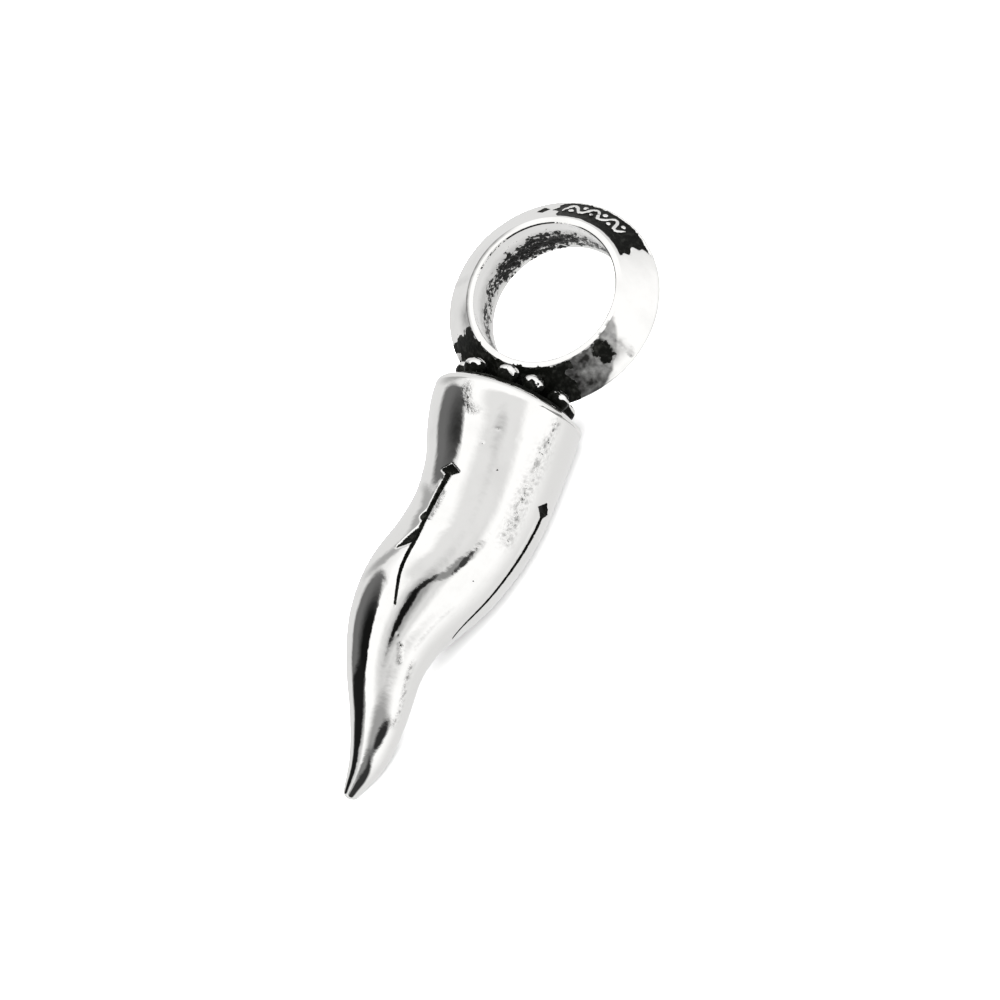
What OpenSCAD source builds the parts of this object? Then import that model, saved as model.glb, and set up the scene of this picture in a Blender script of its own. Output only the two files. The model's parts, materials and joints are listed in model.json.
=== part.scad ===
// Horn charm cast in one piece: a curved horn under a fixed round bail ring, lying as it comes to rest.
// The charm is first drawn flat: the bail's centre is the origin, its hole runs along Z and the horn
// points to -Y. The Rest section then tips it onto the horn's belly and tip and sets it down on Z = 0.

/* [Bail ring] */
// Diameter over the bail's outer ridge
bail_outer_d = 11.3; // [10.4:0.1:13]
// Diameter of the hole that a chain or cord runs through
bail_bore_d = 7.5; // [6:0.1:8.2]
// Width of the bail along its hole
bail_width = 3.2; // [2.4:0.1:4]
// Radial width of the flat lip beside the hole
bail_lip = 0.35; // [0.2:0.05:0.6]
// Depth to which the bail's ridge is sunk into the horn's top
bail_seat = 0.05; // [0.05:0.05:0.4]

/* [Horn] */
// Length of the horn from its flat top to the end of its tip
horn_length = 20.95; // [17:0.05:26]
// Diameter of the horn at its top
horn_top_d = 7.84; // [7:0.02:8.6]
// How far the horn's middle line swings to one side by its tip
horn_sway = 2; // [1:0.05:3]
// How far the horn's middle line falls away from the bail's plane by its tip
horn_drop = 4.2; // [3:0.05:5.5]
// Distance from the bail's centre plane to the middle of the horn's top
horn_offset = 0.15; // [0:0.05:0.4]
// Rounding of the horn's top edge
horn_rim_r = 0.2; // [0.1:0.05:0.6]
// Radius of the rounded tip
horn_tip_r = 0.4; // [0.25:0.05:0.6]

/* [Collar and granules] */
// Height of the low step on the horn's top
collar_h = 0.25; // [0.1:0.05:0.5]
// Width of the flat top left bare around the step
collar_margin = 0.6; // [0.4:0.05:0.9]
// Depth to which the step is sunk into the horn
collar_root = 0.4; // [0.3:0.1:1]
// Height of the dome that joins the step to the bail
dome_h = 0.7; // [0.4:0.05:1]
// Diameter of one granule
granule_d = 1.2; // [0.9:0.05:1.25]
// Number of granules around the bail's foot
granule_count = 10; // [8:1:10]
// Depth to which a granule is sunk into the step
granule_seat = 0.15; // [0.1:0.05:0.3]
// How far the granules stand out past the step
granule_overhang = 0.1; // [0:0.05:0.2]
// Turn of the first granule from the +X side
granule_turn = 28; // [0:1:36]

/* [Engraving] */
// Width of a groove at the horn's surface
groove_w = 0.24; // [0.16:0.02:0.4]
// Depth of a groove
groove_depth = 0.18; // [0.1:0.02:0.3]
// Width of the lozenge punched at a groove's head
lozenge_w = 1.3; // [0.8:0.1:1.6]
// Height of the lozenge along the horn
lozenge_h = 0.8; // [0.6:0.1:1.2]

/* [Smoothness] */
// Sides of the horn's cross-section
horn_sides = 48; // [32:8:64]
// Cross-sections between the horn's top edge and its tip
horn_steps = 52; // [40:4:64]

/* [Hidden] */
$fn = 96;

// The silver as the photo shows it, and the blackened silver around the bail's foot
SILVER = [0.80, 0.80, 0.78];
BLACKENED = [0.16, 0.16, 0.16];

// Sections of the horn. down is a share of the length from the top to the tip's centre, side a share
// of horn_sway, drop a share of horn_drop and size a share of the top radius. The last row's radius is
// the tip's.
DOWN = 0;
SIDE = 1;
DROP = 2;
SIZE = 3;
SECTIONS = [
    // down, side, drop, size
    [0.00,  0.000, 0.000, 1.000],
    [0.08,  0.090, 0.033, 0.972],
    [0.18,  0.250, 0.070, 0.894],
    [0.30,  0.265, 0.105, 0.849],
    [0.42,  0.020, 0.090, 0.818],
    [0.52, -0.360, 0.057, 0.777],
    [0.62, -0.575, 0.080, 0.658],
    [0.72, -0.600, 0.207, 0.505],
    [0.82, -0.520, 0.453, 0.382],
    [0.92, -0.640, 0.762, 0.253],
    [1.00, -1.000, 1.000, 0.000]
];

// Routes of the engraved grooves over the horn, from the lozenge at the head to the fine end. turn is
// the angle around the horn, from the +X side towards the bail's +Z face.
TURN = 1;
GROOVES = [
    // down, turn
    [[0.235, 102], [0.305, 105], [0.380, 104], [0.455, 98], [0.515, 90], [0.565, 80], [0.595, 74]],
    [[0.240, 2], [0.340, 1], [0.430, -1], [0.505, -4], [0.555, -8], [0.585, -13]]
];

// The granules were laid by hand: how far each one lies from its even place, in degrees
GRANULE_DRIFT = [0, 2, -3, 2, -2, -1, -7, 3, -3, 0];

// Worked out from the sizes
bail_outer_r = bail_outer_d / 2;
bail_bore_r = bail_bore_d / 2;
bail_lip_r = bail_bore_r + bail_lip;
horn_top_r = horn_top_d / 2;
horn_top_y = bail_seat - bail_outer_r;
horn_run = horn_length - horn_tip_r;
collar_r = horn_top_r - horn_rim_r - collar_margin;
granule_r = granule_d / 2;
granule_ring_r = collar_r - granule_r + granule_overhang;
last_row = len(SECTIONS) - 1;

// Value of one column at one row, in millimetres
function side_at(row) = SECTIONS[row][SIDE] * horn_sway - horn_offset;
function drop_at(row) = SECTIONS[row][DROP] * horn_drop;
function radius_at(row) = row == last_row ? horn_tip_r : SECTIONS[row][SIZE] * horn_top_r;
SIDES = [for (row = [0:last_row]) side_at(row)];
DROPS = [for (row = [0:last_row]) drop_at(row)];
RADII = [for (row = [0:last_row]) radius_at(row)];
DOWNS = [for (row = SECTIONS) row[DOWN]];

// Smooth curve through the values of a column. Its slope at a row is that between the two rows beside
// it, and at the ends start_slope or the slope of the last stretch.
function slope(xs, ys, i, start_slope) =
    i == 0 ? start_slope
    : i == len(xs) - 1 ? (ys[i] - ys[i - 1]) / (xs[i] - xs[i - 1])
    : (ys[i + 1] - ys[i - 1]) / (xs[i + 1] - xs[i - 1]);
function row_of(xs, x, i = 0) = i >= len(xs) - 2 || x < xs[i + 1] ? i : row_of(xs, x, i + 1);
function between(ys, i, h, f, m0, m1) =
    (1 + 2 * f) * pow(1 - f, 2) * ys[i] + f * pow(1 - f, 2) * h * m0
    + f * f * (3 - 2 * f) * ys[i + 1] - f * f * (1 - f) * h * m1;
function curve(xs, ys, x, start_slope = 0) =
    let (i = row_of(xs, x), h = xs[i + 1] - xs[i])
    between(ys, i, h, (x - xs[i]) / h, slope(xs, ys, i, start_slope), slope(xs, ys, i + 1, start_slope));

// Middle line, radius and direction of the horn at a share down its length
function middle(down) = [
    curve(DOWNS, SIDES, down),
    horn_top_y - down * horn_run,
    -curve(DOWNS, DROPS, down)
];
function radius(down) = curve(DOWNS, RADII, down, (RADII[1] - RADII[0]) / DOWNS[1]);
function unit(a) = a / norm(a);
DOWN_STEP = 0.001;
function along(down) = unit(middle(down + DOWN_STEP) - middle(max(0, down - DOWN_STEP)));

// Two directions square to a stretch of the horn that runs along a: to the +X side, and to the bail's
// +Z face. outward turns from the first to the second.
function side_of(a) = unit([-a[1], a[0], 0]);
function face_of(a) = cross(a, side_of(a));
function outward_of(a, turn) = cos(turn) * side_of(a) + sin(turn) * face_of(a);
function outward(down, turn) = outward_of(along(down), turn);
function skin(down, turn) = middle(down) + radius(down) * outward(down, turn);

// Discs of the horn: middle, radius and direction. The rim is a quarter circle, the tip part of a sphere.
RIM_STEPS = 6;
TIP_STEPS = 5;
rim_share = horn_rim_r / horn_run;
tip_slope = atan((radius(1 - DOWN_STEP) - radius(1)) / (DOWN_STEP * horn_run));
function rim_disc(a) =
    let (down = rim_share * (1 - cos(a)))
    [middle(down), radius(down) - horn_rim_r * (1 - sin(a)), [0, -1, 0]];
function body_disc(down) = [middle(down), radius(down), along(down)];
function tip_disc(a) =
    let (r = horn_tip_r / cos(tip_slope))
    [middle(1) + along(1) * r * (sin(a) - sin(tip_slope)), r * cos(a), along(1)];
DISCS = concat(
    [for (i = [0:RIM_STEPS - 1]) rim_disc(90 * i / RIM_STEPS)],
    [for (i = [0:horn_steps]) body_disc(rim_share + (1 - rim_share) * i / horn_steps)],
    [for (i = [1:TIP_STEPS]) tip_disc(tip_slope + (88 - tip_slope) * i / TIP_STEPS)]
);
function disc_point(disc, a) = disc[0] + disc[1] * outward_of(disc[2], a);
HORN_POINTS = [for (disc = DISCS) for (k = [0:horn_sides - 1]) disc_point(disc, 360 * k / horn_sides)];

// Faces of a tube whose rings follow each other in the list of points, with flat ends
function ring_face(start, n) = [for (k = [0:n - 1]) start + k];
function tube_faces(rings, n) = concat(
    [ring_face(0, n)],
    [for (i = [0:rings - 2]) for (k = [0:n - 1]) [i * n + k, (i + 1) * n + k, i * n + (k + 1) % n]],
    [for (i = [0:rings - 2]) for (k = [0:n - 1])
        [i * n + (k + 1) % n, (i + 1) * n + k, (i + 1) * n + (k + 1) % n]],
    [[for (k = [n - 1:-1:0]) (rings - 1) * n + k]]
);

module horn() {
    color(SILVER)
    polyhedron(HORN_POINTS, tube_faces(len(DISCS), horn_sides));
}

// One groove's cutter: a tapered trough swept along its route, standing clear of the horn's skin
GROOVE_STEPS = 40;
GROOVE_END = 0.35;
GROOVE_CLEAR = 0.12;
function groove_turn(route, down) =
    let (xs = [for (p = route) p[DOWN]], ys = [for (p = route) p[TURN]])
    curve(xs, ys, down, (ys[1] - ys[0]) / (xs[1] - xs[0]));
function groove_point(route, s) =
    let (down = route[0][DOWN] + s * (route[len(route) - 1][DOWN] - route[0][DOWN]))
    [down, groove_turn(route, down)];
function groove_ring(route, s) =
    let (
        p = groove_point(route, s),
        q = groove_point(route, s + 0.01),
        o = skin(p[0], p[1]),
        up = outward(p[0], p[1]),
        sideways = unit(cross(up, skin(q[0], q[1]) - o)),
        share = 1 - (1 - GROOVE_END) * s,
        w = groove_w * share,
        deep = groove_depth * share,
        flare = w * (1 + GROOVE_CLEAR / deep) / 2
    )
    [
        o + sideways * flare + up * GROOVE_CLEAR,
        o - sideways * flare + up * GROOVE_CLEAR,
        o - sideways * w / 6 - up * deep,
        o + sideways * w / 6 - up * deep
    ];

module groove_cutter(route) {
    points = [for (i = [0:GROOVE_STEPS]) for (p = groove_ring(route, i / GROOVE_STEPS)) p];
    polyhedron(points, tube_faces(GROOVE_STEPS + 1, 4));
}

// Lozenge cutter at a groove's head: a four-sided pyramid with its point under the skin
module lozenge_cutter(route) {
    down = route[0][DOWN];
    turn = route[0][TURN];
    o = skin(down, turn);
    up = outward(down, turn);
    wide = cross(up, along(down));
    grow = 1 + GROOVE_CLEAR / groove_depth;
    top = o + up * GROOVE_CLEAR;
    points = [
        top + wide * lozenge_w * grow / 2,
        top + along(down) * lozenge_h * grow / 2,
        top - wide * lozenge_w * grow / 2,
        top - along(down) * lozenge_h * grow / 2,
        o - up * groove_depth
    ];
    polyhedron(points, [[3, 2, 1, 0], [0, 1, 4], [1, 2, 4], [2, 3, 4], [3, 0, 4]]);
}

module engraved_horn() {
    difference() {
        horn();
        for (route = GROOVES) {
            color(BLACKENED) groove_cutter(route);
            color(BLACKENED) lozenge_cutter(route);
        }
    }
}

// Ring with a plain round hole, a narrow flat lip each side and two bevels that meet at a ridge
module bail_ring() {
    color(SILVER)
    rotate_extrude()
    polygon([
        [bail_bore_r, -bail_width / 2],
        [bail_lip_r, -bail_width / 2],
        [bail_outer_r, 0],
        [bail_lip_r, bail_width / 2],
        [bail_bore_r, bail_width / 2]
    ]);
}

// Turns +Z towards the bail and moves to the middle of the horn's flat top
module on_horn_top() {
    translate([-horn_offset, horn_top_y, 0])
    rotate([-90, 0, 0])
    children();
}

// Low step on the horn's top, rooted in the horn so that it fuses with it
module collar() {
    color(BLACKENED)
    on_horn_top()
    translate([0, 0, -collar_root])
    cylinder(r = collar_r, h = collar_root + collar_h);
}

// Dome inside the granules, the fillet of metal that holds the bail's foot
module dome() {
    dome_r = granule_ring_r - granule_r / 2;
    sphere_r = (dome_r * dome_r + dome_h * dome_h) / (2 * dome_h);
    color(BLACKENED)
    on_horn_top()
    intersection() {
        translate([0, 0, collar_h + dome_h - sphere_r])
        sphere(r = sphere_r);
        cylinder(r = dome_r, h = collar_h + dome_h);
    }
}

module granules() {
    color(BLACKENED)
    on_horn_top()
    for (i = [0:granule_count - 1])
        rotate([0, 0, granule_turn + 360 * i / granule_count + GRANULE_DRIFT[i]])
        translate([granule_ring_r, 0, collar_h + granule_r - granule_seat])
        sphere(r = granule_r);
}

// Rest. The charm comes to rest where its centre of mass lies lowest above the table. up is the
// direction, in the flat drawing, that points up from the table once the charm lies on it.
function up_dir(pitch, roll) = [sin(roll), sin(pitch) * cos(roll), cos(pitch) * cos(roll)];

// Depth of the charm below the origin along up, over the horn's discs and the bail's ridge and lips
function disc_depth(disc, up) = disc[1] * sqrt(max(0, 1 - pow(disc[2] * up, 2))) - disc[0] * up;
BAIL_CIRCLES = [
    [[0, 0, 0], bail_outer_r, [0, 0, 1]],
    [[0, 0, -bail_width / 2], bail_lip_r, [0, 0, 1]],
    [[0, 0, bail_width / 2], bail_lip_r, [0, 0, 1]]
];
function depth(up) = max([for (disc = concat(DISCS, BAIL_CIRCLES)) disc_depth(disc, up)]);

// Centre of mass of the horn's slices and the whole bail
SLICES = [for (i = [1:len(DISCS) - 1])
    [PI * DISCS[i][1] * DISCS[i - 1][1] * norm(DISCS[i][0] - DISCS[i - 1][0]), DISCS[i][0]]];
function sum(list, i = 0) = i == len(list) - 1 ? list[i] : list[i] + sum(list, i + 1);
bail_area = bail_width * (bail_lip + bail_outer_r - bail_bore_r) / 2;
bail_volume = bail_area * PI * (bail_outer_r + bail_bore_r);
horn_volume = sum([for (slice = SLICES) slice[0]]);
MASS_CENTRE = sum([for (slice = SLICES) slice[0] * slice[1]]) / (horn_volume + bail_volume);

// Height of the centre of mass over the table, and the pitch and roll that make it least
function height(pitch, roll) = let (up = up_dir(pitch, roll)) MASS_CENTRE * up + depth(up);
SEARCH_STEPS = 22;
function best_pitch(roll, low = -15, high = 25, n = SEARCH_STEPS) =
    let (a = low + (high - low) / 3, b = high - (high - low) / 3)
    n == 0 ? (low + high) / 2
    : height(a, roll) < height(b, roll) ? best_pitch(roll, low, b, n - 1)
    : best_pitch(roll, a, high, n - 1);
function best_roll(low = -60, high = 20, n = SEARCH_STEPS) =
    let (a = low + (high - low) / 3, b = high - (high - low) / 3)
    n == 0 ? (low + high) / 2
    : height(best_pitch(a), a) < height(best_pitch(b), b) ? best_roll(low, b, n - 1)
    : best_roll(a, high, n - 1);
rest_roll = best_roll();
rest_pitch = best_pitch(rest_roll);

// A point of the flat drawing after it is tipped, and the shift that sets the charm on Z = 0 with the
// middle of its box over the origin
function tip_x(p) = [p[0], p[1] * cos(rest_pitch) - p[2] * sin(rest_pitch),
    p[1] * sin(rest_pitch) + p[2] * cos(rest_pitch)];
function tip_y(p) = [p[0] * cos(rest_roll) - p[2] * sin(rest_roll), p[1],
    p[0] * sin(rest_roll) + p[2] * cos(rest_roll)];
function tipped(p) = tip_y(tip_x(p));
BAIL_POINTS = [for (disc = BAIL_CIRCLES) for (a = [0:2:358])
    disc[0] + disc[1] * [cos(a), sin(a), 0]];
TIPPED = [for (p = concat(HORN_POINTS, BAIL_POINTS)) tipped(p)];
function column(list, axis) = [for (p = list) p[axis]];
function middle_of(axis) = (max(column(TIPPED, axis)) + min(column(TIPPED, axis))) / 2;
REST_SHIFT = [-middle_of(0), -middle_of(1), -min(column(TIPPED, 2))];

module horn_charm() {
    translate(REST_SHIFT)
    rotate([rest_pitch, -rest_roll, 0])
    difference() {
        union() {
            engraved_horn();
            collar();
            dome();
            granules();
            bail_ring();
        }
        translate([0, 0, -bail_width])
        cylinder(r = bail_bore_r, h = 2 * bail_width);
    }
}

horn_charm();
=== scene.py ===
# Cast silver horn charm on a pale table. The horn, the bail ring and their foot are drawn flat, in
# millimetres, with the bail's centre at the origin and its hole along Z, and then laid down where the
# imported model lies.
import json
import math

import bpy
import bmesh
import numpy as np
from mathutils import Matrix, Vector, noise


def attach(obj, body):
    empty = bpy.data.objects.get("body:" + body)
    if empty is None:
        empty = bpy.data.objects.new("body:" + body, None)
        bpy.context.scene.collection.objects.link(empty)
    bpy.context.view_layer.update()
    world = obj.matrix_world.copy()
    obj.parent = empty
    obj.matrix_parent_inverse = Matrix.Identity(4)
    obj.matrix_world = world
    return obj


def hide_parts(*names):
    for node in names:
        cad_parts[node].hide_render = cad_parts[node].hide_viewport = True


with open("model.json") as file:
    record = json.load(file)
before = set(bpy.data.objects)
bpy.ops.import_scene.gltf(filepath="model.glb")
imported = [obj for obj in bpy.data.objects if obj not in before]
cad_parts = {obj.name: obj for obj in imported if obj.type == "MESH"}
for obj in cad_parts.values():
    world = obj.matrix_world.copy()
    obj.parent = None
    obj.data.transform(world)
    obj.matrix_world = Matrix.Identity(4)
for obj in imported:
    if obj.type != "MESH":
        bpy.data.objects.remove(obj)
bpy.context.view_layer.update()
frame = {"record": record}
MM = 0.001

# Driving sizes in millimetres, the same as in the part's source
BAIL_OUTER_R = 11.3 / 2
BAIL_BORE_R = 7.5 / 2
BAIL_WIDTH = 3.2
BAIL_LIP = 0.35
BAIL_SEAT = 0.05
HORN_LENGTH = 20.95
HORN_TOP_R = 7.84 / 2
HORN_SWAY = 2.0
HORN_DROP = 4.2
HORN_OFFSET = 0.15
HORN_RIM_R = 0.2
HORN_TIP_R = 0.4
COLLAR_H = 0.25
COLLAR_MARGIN = 0.6
COLLAR_ROOT = 0.4
DOME_H = 0.7
GRANULE_R = 1.2 / 2
GRANULE_COUNT = 10
GRANULE_SEAT = 0.15
GRANULE_OVERHANG = 0.1
GRANULE_TURN = 28
GRANULE_DRIFT = [0, 2, -3, 2, -2, -1, -7, 3, -3, 0]
GRANULE_FLAT = 0.80
GROOVE_W = 0.24
GROOVE_DEPTH = 0.18
GROOVE_END = 0.35
LOZENGE_W = 1.3
LOZENGE_H = 0.8

# Sections of the horn: share down its length, sideways share of the sway, share of the drop and share
# of the top radius. The last row's radius is the tip's.
SECTIONS = np.array([
    (0.00, 0.000, 0.000, 1.000),
    (0.08, 0.090, 0.033, 0.972),
    (0.18, 0.250, 0.070, 0.894),
    (0.30, 0.265, 0.105, 0.849),
    (0.42, 0.020, 0.090, 0.818),
    (0.52, -0.360, 0.057, 0.777),
    (0.62, -0.575, 0.080, 0.658),
    (0.72, -0.600, 0.207, 0.505),
    (0.82, -0.520, 0.453, 0.382),
    (0.92, -0.640, 0.762, 0.253),
    (1.00, -1.000, 1.000, 0.000),
])

# Routes of the two grooves: share down the horn, and turn from the +X side towards the +Z face
GROOVES = [
    np.array([(0.235, 102), (0.305, 105), (0.380, 104), (0.455, 98), (0.515, 90), (0.565, 80), (0.595, 74)]),
    np.array([(0.240, 2), (0.340, 1), (0.430, -1), (0.505, -4), (0.555, -8), (0.585, -13)]),
]

# The horn's top edge as polishing has worn it, rounder than the plain solid's
RIM_WORN_R = 0.55

# How far the black spills past each groove's edges, in millimetres, and the burr that the graver raised
GROOVE_SPILL = [0.055, 0.015]
BURR_AWAY = 0.15
BURR_HALF = 0.09
BURR_H = 0.022

# Worked out from the sizes
HORN_TOP_Y = BAIL_SEAT - BAIL_OUTER_R
HORN_RUN = HORN_LENGTH - HORN_TIP_R
BAIL_LIP_R = BAIL_BORE_R + BAIL_LIP
BEVEL_SLANT = math.hypot(BAIL_OUTER_R - BAIL_LIP_R, BAIL_WIDTH / 2)
COLLAR_R = HORN_TOP_R - HORN_RIM_R - COLLAR_MARGIN
GRANULE_RING_R = COLLAR_R - GRANULE_R + GRANULE_OVERHANG
DOWNS = SECTIONS[:, 0]
SIDES = SECTIONS[:, 1] * HORN_SWAY - HORN_OFFSET
DROPS = SECTIONS[:, 2] * HORN_DROP
RADII = np.append(SECTIONS[:-1, 3] * HORN_TOP_R, HORN_TIP_R)

# The flat drawing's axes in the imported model, from the bail's bore
bore = next(m for m in frame["record"]["mounts"] if m["name"] == "bail_bore")
FLAT_ORIGIN = Vector(bore["pos_m"])
FLAT_Z = Vector(bore["axis"]).normalized()
FLAT_X = Vector((FLAT_Z.z, 0, -FLAT_Z.x)).normalized()
FLAT_Y = FLAT_Z.cross(FLAT_X)
FLAT = np.array([FLAT_X, FLAT_Y, FLAT_Z])


def to_world(points):
    """Points of the flat drawing, in millimetres, as places in the model, in metres."""
    return np.asarray(points).reshape(-1, 3) @ FLAT * MM + np.array(FLAT_ORIGIN)


def smooth_step(low, high, x):
    t = np.clip((x - low) / (high - low), 0, 1)
    return t * t * (3 - 2 * t)


def rough(points, size, seed):
    """Noise between -1 and 1 at points in millimetres, with lumps of about this size."""
    shift = Vector((seed * 7.3, seed * 3.1, seed * 5.7))
    values = [noise.noise(Vector(p) / size + shift) for p in np.asarray(points).reshape(-1, 3)]
    return np.array(values).reshape(np.asarray(points).shape[:-1])


def lumps(points, layers):
    """Uneven height of a casting, from layers of noise: each one's height, lump size and seed."""
    return sum(height * rough(points, size, seed) for height, size, seed in layers)


def curve(xs, ys, x, start_slope=None):
    """Smooth curve through a column's values, as the part's source draws it."""
    first = (ys[1] - ys[0]) / (xs[1] - xs[0])
    last = (ys[-1] - ys[-2]) / (xs[-1] - xs[-2])
    inner = (ys[2:] - ys[:-2]) / (xs[2:] - xs[:-2])
    slopes = np.concatenate([[first if start_slope is None else start_slope], inner, [last]])
    i = np.clip(np.searchsorted(xs, x, side="right") - 1, 0, len(xs) - 2)
    h = xs[i + 1] - xs[i]
    f = (x - xs[i]) / h
    rise = (1 + 2 * f) * (1 - f) ** 2 * ys[i] + f * f * (3 - 2 * f) * ys[i + 1]
    return rise + f * (1 - f) ** 2 * h * slopes[i] - f * f * (1 - f) * h * slopes[i + 1]


def unit(a):
    return a / np.linalg.norm(a, axis=-1, keepdims=True)


def make_piece(name, points, faces, patina_and_painted_light, tarnish_and_painted_grey=0.0, coarse=0.0):
    """Mesh object from flat points and faces, with shares of black patina and painted dark reflection, grey
    tarnish and painted grey reflection, and coarse grain.
    """
    mesh = bpy.data.meshes.new(name)
    mesh.from_pydata(to_world(points).tolist(), [], faces)
    mesh.polygons.foreach_set("use_smooth", [True] * len(mesh.polygons))
    for label, share in (("patina_and_painted_light", patina_and_painted_light), ("tarnish_and_painted_grey", tarnish_and_painted_grey), ("coarse", coarse)):
        values = np.zeros(len(points), dtype=np.float32) + np.asarray(share, dtype=np.float32).ravel()
        mesh.attributes.new(label, "FLOAT", "POINT").data.foreach_set("value", values)
    check = bmesh.new()
    check.from_mesh(mesh)
    bmesh.ops.recalc_face_normals(check, faces=check.faces)
    check.to_mesh(mesh)
    check.free()
    piece = bpy.data.objects.new(name, mesh)
    bpy.context.scene.collection.objects.link(piece)
    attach(piece, "root")
    return piece


def tube_faces(rows, columns, close_rows=False):
    """Quads between rows of points that each close on themselves."""
    faces = []
    for i in range(rows if close_rows else rows - 1):
        a = i * columns
        b = (i + 1) % rows * columns
        faces += [(a + k, b + k, b + (k + 1) % columns, a + (k + 1) % columns) for k in range(columns)]
    return faces


def fan_faces(start, columns, centre):
    return [(start + k, start + (k + 1) % columns, centre) for k in range(columns)]


# Horn

# How far the skin's curves are averaged, as a share of its length, so that no section shows as a crease
EVEN_SPREAD = 0.02
EVEN_SHARES = np.linspace(0, 1.01, 2021)


def evened(values, start_slope=None):
    """A column's curve at EVEN_SHARES, averaged so that its curvature doesn't jump at the sections."""
    table = curve(DOWNS, values, EVEN_SHARES, start_slope)
    spread = EVEN_SPREAD / (EVEN_SHARES[1] - EVEN_SHARES[0])
    reach = round(4 * spread)
    before = table[reach:0:-1]
    if start_slope != 0:
        before = 2 * table[0] - before
    after = 2 * table[-1] - table[-2:-reach - 2:-1]
    weights = np.exp(-0.5 * (np.arange(-reach, reach + 1) / spread) ** 2)
    return np.convolve(np.concatenate([before, table, after]), weights / weights.sum(), "valid")


SIDE_TABLE = evened(SIDES, 0)
DROP_TABLE = evened(DROPS, 0)
RADIUS_TABLE = evened(RADII)


def middle(down):
    side = np.interp(down, EVEN_SHARES, SIDE_TABLE)
    drop = np.interp(down, EVEN_SHARES, DROP_TABLE)
    return np.stack([side, HORN_TOP_Y - down * HORN_RUN, -drop], -1)


def radius(down):
    return np.interp(down, EVEN_SHARES, RADIUS_TABLE)


def along(down, step=0.001):
    return unit(middle(down + step) - middle(np.maximum(0, down - step)))


def outward_of(direction, turn):
    """Direction square to the horn at this turn, for stretches that run in this direction."""
    side = unit(np.stack([-direction[..., 1], direction[..., 0], 0 * direction[..., 0]], -1))
    face = np.cross(direction, side)
    return np.cos(turn)[..., None] * side + np.sin(turn)[..., None] * face


def groove_turn(route, down):
    """Turn of a groove's middle, in radians, held at its end values past its ends."""
    inside = np.clip(down, route[0, 0], route[-1, 0])
    return np.radians(curve(route[:, 0], route[:, 1], inside))


# Columns of points between the grooves and around the rest, and how strongly they crowd at the grooves
NEAR_COLUMNS = 96
FAR_COLUMNS = 136
CROWDING = 0.93


def crowded(n):
    """Shares from 0 to 1 in n steps that crowd at both ends."""
    u = np.arange(n) / n
    return u - CROWDING * np.sin(2 * math.pi * u) / (2 * math.pi)


def column_turns(down):
    """Turns of the columns on each row, crowded along the two grooves."""
    upper = groove_turn(GROOVES[0], down)[:, None]
    lower = groove_turn(GROOVES[1], down)[:, None]
    between = lower + (upper - lower) * crowded(NEAR_COLUMNS)[None]
    around = upper + (2 * math.pi + lower - upper) * crowded(FAR_COLUMNS)[None]
    return np.concatenate([between, around], axis=1)


# Small casting pits: share down, turn in degrees, radius and depth in millimetres
PITS = [
    (0.116, 70, 0.10, 0.020),
    (0.156, 80, 0.10, 0.022),
    (0.205, 62, 0.09, 0.018),
    (0.129, 52, 0.16, 0.010),
    (0.034, 150, 0.15, 0.030),
    (0.437, 29, 0.12, 0.020),
    (0.640, 60, 0.10, 0.015),
    (0.300, 200, 0.15, 0.030),
    (0.410, 300, 0.13, 0.030),
    (0.520, 250, 0.15, 0.030),
]

# Stretches that the polishing left coarse: places as share down and turn, half width in millimetres,
# height of the grain in millimetres, and share of black left in it
COARSE = [
    ([(0.050, 24), (0.085, 26), (0.120, 27)], 0.22, 0.034, 0.53),
    ([(0.120, 28), (0.137, 29), (0.231, 32), (0.304, 30), (0.328, 28)], 0.42, 0.034, 0.43),
    ([(0.690, 26), (0.720, 26.5), (0.758, 26.5), (0.792, 24.5), (0.825, 26)], 0.14, 0.026, 0.36),
    ([(0.030, 100), (0.050, 98), (0.074, 91)], 0.24, 0.030, 0.49),
    ([(0.300, 99), (0.345, 98.5), (0.385, 98.5)], 0.11, 0.018, 0.30),
    ([(0.660, 52), (0.690, 47)], 0.12, 0.022, 0.52),
]

# Cold laps, wedges that run out from the upper groove: shares down where each starts and ends on the
# groove and where its tip is, reach in millimetres and depth in millimetres
LAPS = [
    (0.360, 0.402, 0.394, 0.42, 0.045),
    (0.408, 0.458, 0.492, 0.92, 0.050),
]


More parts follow.
